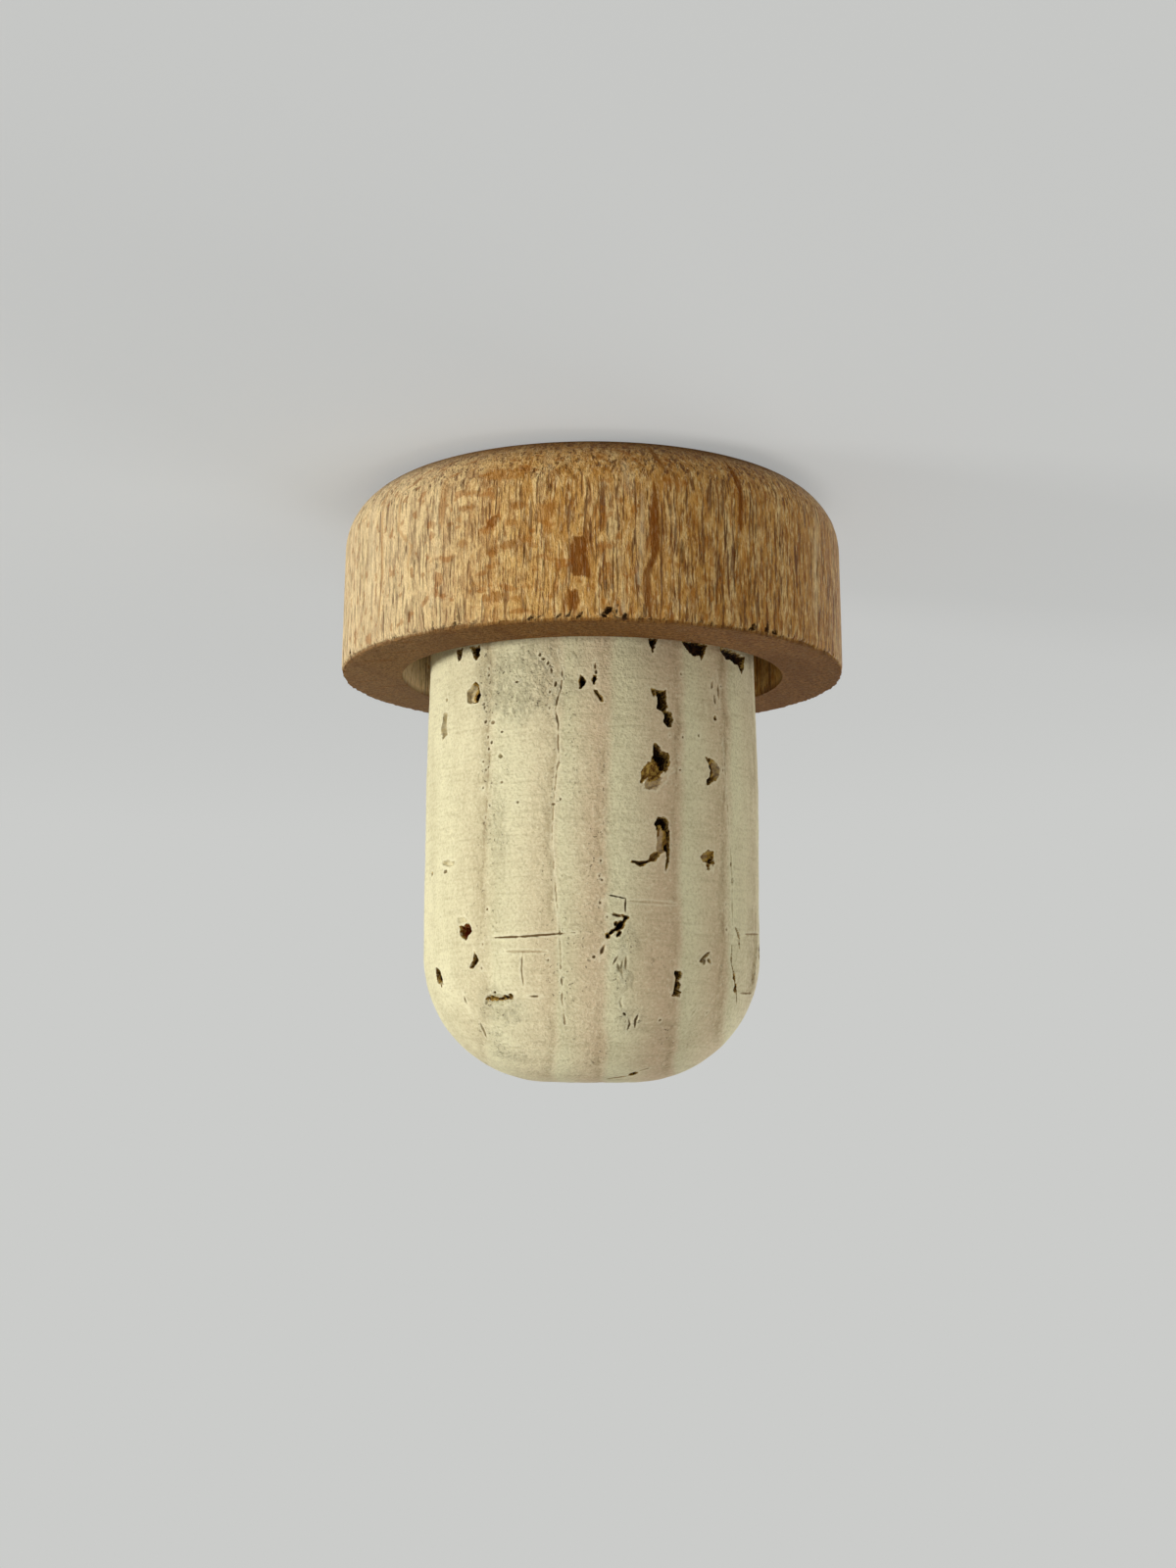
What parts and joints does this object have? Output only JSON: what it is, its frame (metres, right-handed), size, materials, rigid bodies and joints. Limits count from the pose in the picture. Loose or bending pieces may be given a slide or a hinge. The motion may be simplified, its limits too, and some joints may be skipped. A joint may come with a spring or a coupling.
{
  "type": "wine cork stopper",
  "caption": "T-shaped bottle stopper: a turned round wooden head with a recessed underside and a natural cork shank with a rounded end glued into it.",
  "frame": {"origin": "centre of the head's flat top, on which the stopper stands", "axes": "+Z along the shank's axis, from the head to the cork's rounded end"},
  "size_m": [0.0304, 0.0304, 0.0352],
  "materials": {
    "turned_beech": "fine-turned, thin clear wax, end grain on both flat faces",
    "natural_cork": "bare natural cork, matte, with open pits"
  },
  "bodies": {
    "root": {"wood_head": "turned_beech", "cork_shank": "natural_cork"}
  },
  "joints": []
}
